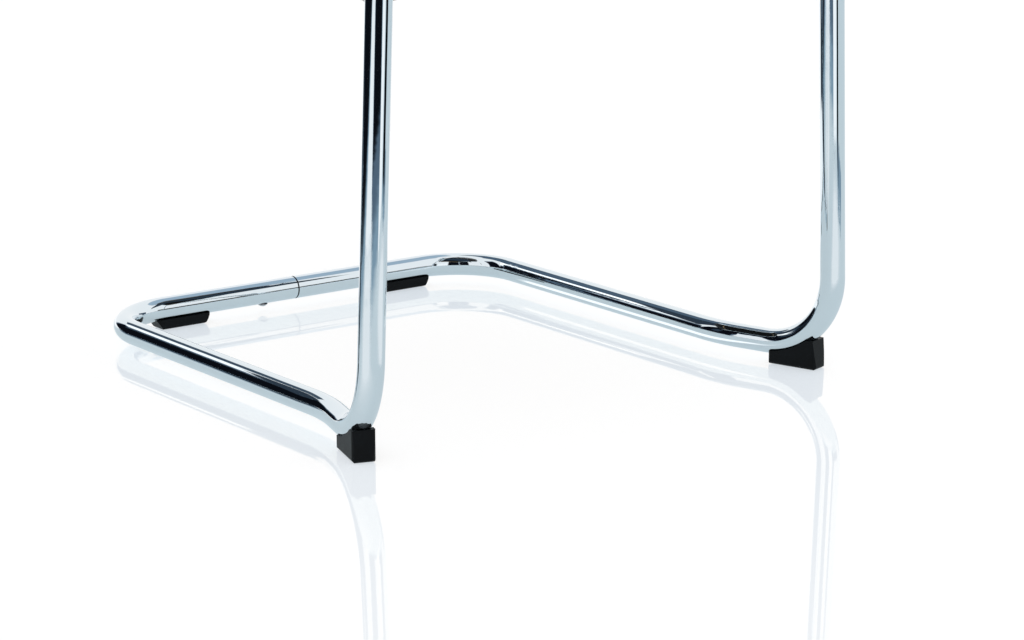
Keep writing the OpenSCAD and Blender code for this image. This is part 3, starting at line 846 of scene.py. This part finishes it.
def shell():
    """The moulded plywood shell, with rounded edges."""
    edge_r = 0.0022
    wall_rows = 8
    down = rounded_edge(edge_r, 0, step=18)
    wall = [(-edge_r - (SHELL_T - 2 * edge_r) * k / wall_rows, 0) for k in range(1, wall_rows)]
    under = [(-SHELL_T - height, inset) for height, inset in down[::-1]]
    slab = Slab("shell_plywood", 0, OUTLINE.length, down + wall + under, cell=0.010)
    slab.lay_flat()
    dress(slab.piece, PLYWOOD)
    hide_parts("seat_back_shell")
    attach(slab.piece, "root")


def back_panel():
    """The covered panel behind the back, with a sewn border."""
    near = -SHELL_T - SOFT_GAP
    near_side = rounded_edge(radius=0.0019, height=near, step=22)
    far_side = [(2 * near - PANEL_T - height, inset) for height, inset in near_side[::-1]]
    slab = Slab("back_panel_leather", OUTLINE.fold + COVER_GAP, OUTLINE.length,
                near_side + far_side, cell=0.008)
    slab.upholster(["back_panel"])
    loop = inner_loop(slab, inset=0.012, height=near - PANEL_T)
    stitches("back_panel_stitches", [loop], slab.surface(), toward_back)


upholstery("seat_cushion", 0.0, OUTLINE.fold, SEAT_SEAM_H,
           shares=(0.37, 0.69), limit=0.010, replaced=["seat_foam", "seat_cover"])
upholstery("back_cushion", OUTLINE.fold + COVER_GAP, OUTLINE.length, BACK_SEAM_H,
           shares=(0.40, 0.68), limit=0.009, replaced=["back_foam", "back_cover"])
shell()
back_panel()


# ---- arm pads ----

def stadium(half_len, radius):
    """Points of a rounded strip along Y, seen from above."""
    turn_points = 40
    side_points = 30
    turn = np.linspace(0, math.pi, turn_points)
    straight = half_len - radius
    near = np.stack([radius * np.cos(turn), straight + radius * np.sin(turn)], 1)
    side = np.linspace(straight, -straight, side_points)[1:-1]
    left = np.stack([np.full(len(side), -radius), side], 1)
    return np.vstack([near, left, -near, -left])


def arm_pad(name, side):
    """A soft moulded pad over the arm tube: rounded ends, full edges and a crowned top."""
    inside = 0.0002
    edge_r = 0.0055
    groove_w = 0.0004
    groove_depth = 0.00022
    groove_drop = 0.001
    beside_edge = 0.0015
    crown_rings = 10
    lower_edge = [(0, 0.0022), (0.0006, 0.0006), (0.0020, 0)]
    low, top = TUBE_R - PAD_FLANK, TUBE_R + PAD_H
    half_w, half_len = PAD_W / 2 - inside, PAD_LEN / 2

    def crowned(inset):
        return top - (half_w - inset) ** 2 / (2 * PAD_CROWN_R)

    # Heights and insets, from the hollow underside round the edges to the middle of the top
    profile = [(low + inside, half_w * 0.98), (low, half_w * 0.5)]
    profile += [(low + rise, inset) for rise, inset in lower_edge]
    shoulder = crowned(edge_r) - 2 * inside
    parting = (low + shoulder) / 2 - groove_drop
    profile += [(parting - groove_w, 0.0), (parting, groove_depth), (parting + groove_w, 0.0)]
    profile += [(shoulder - edge_r * (1 - math.sin(a)), edge_r * (1 - math.cos(a)))
                for a in map(math.radians, (0, 15, 30, 45, 60, 75, 88))]
    profile += [(crowned(inset), inset)
                for inset in np.linspace(edge_r + beside_edge, half_w - inside, crown_rings)]
    strips = [stadium(half_len - inset, half_w - inset) for _, inset in profile]
    rings = [np.column_stack([strip, np.full(len(strip), height)])
             for strip, (height, _) in zip(strips, profile)]
    middle = np.array([side * ARM_X, CROSSBAR_Y - (BASE_LEN + LEG_SETBACK) / 2, ARM_Z])
    piece = new_mesh_object("soft_" + name, np.concatenate(rings) + middle,
                            tube_faces(len(rings), len(rings[0])))
    face_outward(piece)
    dress(piece, SOFT_BLACK)
    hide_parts(name)
    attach(piece, "root")


arm_pad("left_arm_pad", -1)
arm_pad("right_arm_pad", 1)


# ---- pieces whose CAD shape is shown as it is ----

def both(*parts):
    """Names of parts that each side has."""
    return [f"{side}_{part}" for part in parts for side in ("left", "right")]


CAD_LOOKS = [
    (BLACK_PLASTIC, both("front_foot", "rear_glide", "rail_plug", "front_saddle", "rear_saddle")),
    (ZINC, ["crossbar_screw", "seat_bolts", "saddle_washers", "tee_nuts", *both("arm_pad_screws")]),
    (STEEL, ["crossbar_sleeve"]),
    (LINER, ["seat_liner"])]
for look, names in CAD_LOOKS:
    for node_name in names:
        dress(nodes[node_name], look)


# ---- stage ----

# The camera that was fitted to the photograph
CAMERA_PLACE = (-1.7747, -2.4906, 0.7949)
CAMERA_TILT = math.radians(76.101)
CAMERA_TURN = math.radians(-36.895)
CAMERA_LENS = 107.33

# The floor lies under the feet, its skin and the cards on it a little higher
FLOOR_Z = -0.0004
SKIN_Z = -0.0001
FLOOR_CARD_Z = 0.0002
FLAT_CARD_Z = 0.0003
FLOOR_HALF = 20.0
SKY_R = 12.0
CARD_STEPS = 33
BETWEEN_UPRIGHTS = np.array([0, CROSSBAR_Y - BASE_LEN, 0])

BLACK = (0.004, 0.005, 0.008)
DEEP_SLATE = (0.03, 0.045, 0.065)
DARK_SLATE = (0.10, 0.15, 0.21)
SLATE = (0.25, 0.36, 0.45)
SKY_BLUE = (0.39, 0.50, 0.61)
PALE = (0.93, 0.95, 0.96)
WHITE = (1.0, 1.0, 1.0)


def own_tree(piece):
    """The empty node tree of a new material for one piece alone."""
    material = bpy.data.materials.new(piece.name)
    piece.data.materials.append(material)
    return empty_tree(material)


def soft_steps(count, fade):
    """Cover along one side of a card: 0 at both ends, 1 where the fades have ended."""
    t = np.linspace(0, 1, count)
    first, last = fade
    rise = np.clip(t / first, 0, 1) if first else np.ones(count)
    fall = np.clip((1 - t) / last, 0, 1) if last else np.ones(count)
    cover = rise * fall
    return cover * cover * (3 - 2 * cover)


def card(name, points, colour, strength=1.0, across=(0.1, 0.1), along=(0.1, 0.1), rim=None):
    """A sheet on a grid of points that only reflections see. Its borders fade through the
    colour of the rim, over shares of each row (across) and of each column (along)."""
    rim_below = 0.7
    opaque_from = 0.45
    rows, columns = points.shape[:2]
    faces = [(i, i + 1, i + columns + 1, i + columns)
             for r in range(rows - 1) for i in range(r * columns, (r + 1) * columns - 1)]
    sheet = new_mesh_object(name, points.reshape(-1, 3), faces)
    fades = np.outer(soft_steps(rows, along), soft_steps(columns, across))
    point_values(sheet, "cover", fades.ravel())
    tree = own_tree(sheet)
    cover = point_value(tree, "cover")
    shade = blended(tree, ranged(tree, cover, 0, 1, start=rim_below), rim or colour, colour)
    # Not seen by the floor's own mirror, only by way of the part. A depth over 1.5 is 2 or more
    path = add_node(tree, "LightPath")
    direct = added(tree, path.outputs["Transparent Depth"], 1.5, "LESS_THAN")
    by_part = added(tree, path.outputs["Glossy Depth"], 1.5, "GREATER_THAN")
    shown = added(tree, ranged(tree, cover, 0, 1, end=opaque_from),
                  added(tree, direct, by_part, "MAXIMUM"), "MULTIPLY")
    mix = output_of(tree, "MixShader", shown, output_of(tree, "BsdfTransparent"),
                    output_of(tree, "Emission", Color=shade, Strength=strength))
    add_node(tree, "OutputMaterial", Surface=mix)
    for rays in ("camera", "diffuse", "transmission", "volume_scatter", "shadow"):
        setattr(sheet, "visible_" + rays, False)
    sheet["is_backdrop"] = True


def rectangle(across, along):
    """Four corners, for patch."""
    return [(a, b) for b in along for a in across]


def patch(corners):
    """A grid between four corners, given as the ends of its first row and of its last row."""
    a, b, c, d = (np.array(corner, float) for corner in corners)
    t = np.linspace(0, 1, CARD_STEPS)[:, None]
    return np.array([(a + (b - a) * t) * (1 - r) + (c + (d - c) * t) * r
                     for r in np.linspace(0, 1, CARD_STEPS)])


def azimuth(degrees):
    """Direction across the floor, counted from +Y towards +X."""
    return np.array([math.sin(math.radians(degrees)), math.cos(math.radians(degrees)), 0.0])


def sky_card(name, corners, colour, **look):
    """A part of the sky between four directions, each an azimuth and an elevation in degrees."""
    az, el = np.moveaxis(np.radians(patch(corners)), 2, 0)
    points = [np.cos(el) * np.sin(az), np.cos(el) * np.cos(az), np.sin(el)]
    card(name, SKY_R * np.stack(points, -1), colour, **look)


def rail_card(name, angles, turns, colour, **look):
    """A part of the sky in directions at some angles to the rails, turned round them."""
    angle, turn = np.moveaxis(np.radians(patch(rectangle(angles, turns))), 2, 0)
    points = [-np.sin(angle) * np.cos(turn), np.cos(angle), np.sin(angle) * np.sin(turn)]
    card(name, SKY_R * np.stack(points, -1), colour, across=(0, 0), **look)


def floor_card(name, az, distance, colour, z=FLOOR_CARD_Z, **look):
    """A ring sector on the floor round the middle between the uprights."""
    middle = BETWEEN_UPRIGHTS + (0, 0, z)
    points = np.array([[middle + d * azimuth(a) for a in np.linspace(*az, CARD_STEPS)]
                       for d in np.geomspace(*distance, CARD_STEPS)])
    card(name, points, colour, **look)


def flat_card(name, corners, colour, **look):
    """A sheet lying on the floor between four corners."""
    card(name, patch([(x, y, FLAT_CARD_Z) for x, y in corners]), colour, **look)


def standing_card(name, start, end, heights, colour, **look):
    """An upright sheet over a line on the floor."""
    card(name, patch([(*foot, z) for z in heights for foot in (start, end)]), colour, **look)


def reflections():
    """Black flags and white panels round the chair, for the streaks in the chrome."""
    sky_card("flag_back_left", rectangle((286, 314), (-2, 50)), BLACK, across=(0.06, 0.03),
             along=(0, 0.12), rim=DARK_SLATE)
    sky_card("flag_back", [(335, 45), (385, 45), (335, 66), (395, 66)], DARK_SLATE, strength=0.9,
             along=(0.03, 0.15))
    # The floor rails mirror the sky at these angles to themselves
    far, near = (37.8, 48), (28, 37.8)
    rail_card("far_black", far, (-4, 38), BLACK, along=(0, 0.3), rim=DARK_SLATE)
    rail_card("far_white", far, (38, 68), WHITE, strength=1.6, along=(0.25, 0.25))
    rail_card("far_dark", far, (63, 112), DARK_SLATE, strength=0.85, along=(0.15, 0.15))
    rail_card("near_black", near, (-4, 60), BLACK, along=(0, 0.28), rim=DARK_SLATE)
    rail_card("near_white", near, (58, 83), WHITE, strength=1.3, along=(0.25, 0.25))
    rail_card("near_dark", near, (79, 110), DARK_SLATE, strength=0.6, along=(0.2, 0.3))
    sky_card("ceiling_right", [(38, 42), (100, 40), (45, 75), (113, 72)], SKY_BLUE,
             along=(0.15, 0.1))
    sky_card("flag_side", rectangle((66, 94), (-2, 11)), DARK_SLATE, strength=0.6, along=(0, 0.2))
    sky_card("flag_front", rectangle((198, 242), (-2, 50)), BLACK, along=(0, 0.15))
    sky_card("flag_horizon", rectangle((125, 172), (-3, 9)), BLACK, along=(0, 0.3))
    floor_card("floor_white_left", (236, 288), (1.1, 9), WHITE, strength=1.05, along=(0.15, 0))
    floor_card("floor_white_back", (338, 425), (0.62, 9), WHITE, strength=1.1, across=(0.1, 0.3),
               along=(0.12, 0))
    # Painted reflections: dark sheets on the white floor, seen only in the chrome
    flat_card("floor_painted_black_reflection_left", [(-0.40, 0.12), (-9, -1.3), (-2.8, 9), (-9, 3.5)], BLACK,
              across=(0.03, 0), along=(0.075, 0), rim=SLATE)
    floor_card("floor_painted_slate_reflection_front", (183, 244), (0.8, 9), DARK_SLATE, across=(0.1, 0.08),
               along=(0.335, 0), rim=SLATE)
    floor_card("floor_painted_black_reflection_front", (184, 243), (1.6, 9), BLACK, z=2 * FLOOR_CARD_Z,
               across=(0.1, 0.08), along=(0.235, 0), rim=DARK_SLATE)
    # Paler floor round the near upright
    floor_card("floor_pale_left", (232, 296), (0.25, 1.6), PALE, across=(0.5, 0.5),
               along=(0.75, 0.25))
    floor_card("floor_pale_front", (126, 206), (0.12, 1.0), PALE, across=(0.5, 0.5),
               along=(0.7, 0.3))
    # A painted reflection: a black sheet on the white floor behind the left rail, and the dark sky
    # over it, that the bends mirror
    flat_card("floor_painted_black_reflection_near", [(-0.295, -0.11), (-0.42, 0.02), (-0.32, 1.3), (-1.3, 1.3)],
              BLACK, across=(0.4, 0.04), along=(0.06, 0.05), rim=DARK_SLATE)
    sky_card("flag_bend", [(318, -2), (366, -2), (329, 32), (350, 27)], BLACK, across=(0.02, 0.12),
             along=(0, 0.15), rim=DARK_SLATE)
    standing_card("panel_front", (-0.254, -1.151), (0.207, -1.392), (0.0, 0.6), WHITE,
                  strength=1.1, across=(0.05, 0.05), along=(0.1, 0))
    # A painted reflection: a slate sheet on the white floor, seen only in the chrome
    floor_card("floor_painted_slate_reflection_right", (124, 156), (0.80, 1.35), SLATE, strength=0.9,
               across=(0.3, 0.3), along=(0.3, 0.3))
    standing_card("flag_right", (0.266, -1.283), (0.422, -0.842), (0.0, 0.6), BLACK,
                  across=(0.05, 0.05), along=(0.13, 0), rim=SLATE)
    # Painted reflections: low dark sheets, one for each floor rail, end their white streaks before
    # the front feet
    standing_card("painted_reflection_low_near", (-0.46, 0.2), (-0.27, 0.2), (0.165, 0.40), DEEP_SLATE,
                  across=(0.1, 0.25), along=(0.2, 0.1))
    standing_card("painted_reflection_low_far", (-0.02, 0.15), (0.2, 0.15), (0.16, 0.42), DEEP_SLATE,
                  across=(0.15, 0.15), along=(0.2, 0.1))
    # The gleam that the far rail throws on the floor under itself
    flat_card("gleam", rectangle((0.210, 0.229), (-0.24, 0.20)), WHITE, strength=1.3,
              across=(0.3, 0.3), along=(0.2, 0.1))


def world():
    """White for the eye and for reflections, dimmer as the light that falls on matt surfaces."""
    matt_strength = 0.55
    made = bpy.data.worlds.new("studio")
    scene.world = made
    tree = empty_tree(made)
    matt = output_of(tree, "LightPath", output="Is Diffuse Ray")
    strength = ranged(tree, matt, 1.0, matt_strength)
    add_node(tree, "OutputWorld",
             Surface=output_of(tree, "Background", Color=(1, 1, 1, 1), Strength=strength))


def lit_pieces():
    """The pieces that the soft boxes light. The bright metal only mirrors its surroundings."""
    group = bpy.data.collections.new("lit")
    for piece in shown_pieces():
        if piece.data.materials and piece.data.materials[0] not in (CHROME, BLACK_PLASTIC, LINER):
            group.objects.link(piece)
    return group


def soft_box(name, place, aim, size, power, lit):
    """A large soft light for the upholstery, out of the camera's sight."""
    data = bpy.data.lights.new(name, "AREA")
    data.shape = "RECTANGLE"
    data.size, data.size_y = size
    data.energy = power
    lamp = new_object(name, data)
    lamp.location = place
    lamp.rotation_euler = (Vector(place) - Vector(aim)).to_track_quat("Z", "Y").to_euler()
    lamp.visible_camera = False
    lamp.light_linking.receiver_collection = lit


def flat_sheet(name, z):
    span = (-FLOOR_HALF, FLOOR_HALF)
    sheet = new_mesh_object(name, [(x, y, z) for x, y in rectangle(span, span)], [(0, 1, 3, 2)])
    sheet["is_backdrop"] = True
    return sheet


def floor_skin():
    """A clear skin over the floor, by which the cards tell the rays that come from the floor."""
    skin = flat_sheet("floor_skin", SKIN_Z)
    tree = own_tree(skin)
    add_node(tree, "OutputMaterial", Surface=output_of(tree, "BsdfTransparent"))
    skin.visible_diffuse = False
    skin.visible_shadow = False


def floor():
    """A white glossy floor. It mirrors the part in its own tint, stronger at a flat angle."""
    mirror_tint = (0.98, 0.80, 0.62)
    glow_share = 0.74
    shading_share = 0.56
    tree = own_tree(flat_sheet("floor", FLOOR_Z))

    # Seen directly: white, less what the mirror takes up, and a trace of real shading
    fresnel = output_of(tree, "Fresnel", IOR=1.5)
    mirror = output_of(tree, "VectorMath", fresnel, mirror_tint, operation="MULTIPLY")
    rest = output_of(tree, "VectorMath", (1, 1, 1), mirror, operation="SUBTRACT")
    pale = output_of(tree, "VectorMath", rest, operation="SCALE", Scale=shading_share)
    glossy = output_of(tree, "AddShader",
                       output_of(tree, "Emission", Color=rest, Strength=glow_share),
                       output_of(tree, "BsdfGlossy", Color=mirror, Roughness=0.02))
    seen = output_of(tree, "AddShader", glossy, output_of(tree, "BsdfDiffuse", Color=pale))

    # Seen in the chrome: a little darker and cooler
    in_chrome = output_of(tree, "AddShader",
                          output_of(tree, "BsdfDiffuse", Color=(0.33, 0.38, 0.41, 1)),
                          output_of(tree, "Emission", Color=(0.49, 0.54, 0.555, 1)))
    direct = output_of(tree, "LightPath", output="Is Camera Ray")
    add_node(tree, "OutputMaterial",
             Surface=output_of(tree, "MixShader", direct, in_chrome, seen))


def camera():
    data = bpy.data.cameras.new("camera")
    view = new_object("camera", data)
    view.location = CAMERA_PLACE
    view.rotation_euler = (CAMERA_TILT, 0, CAMERA_TURN)
    data.sensor_width = 36
    data.lens = CAMERA_LENS
    data.clip_end = 100
    bpy.context.scene.camera = view


world()
floor_skin()
floor()
reflections()
upholstered = lit_pieces()
soft_box("key", place=(-2.0, -2.35, 2.3), aim=(0, 0, 0.5), size=(1.3, 1.3), power=85,
         lit=upholstered)
soft_box("rim", place=(0.25, 2.9, 3.2), aim=(0, 0, 0.6), size=(1.2, 0.8), power=75,
         lit=upholstered)
camera()
bpy.context.scene.view_settings.view_transform = "Standard"
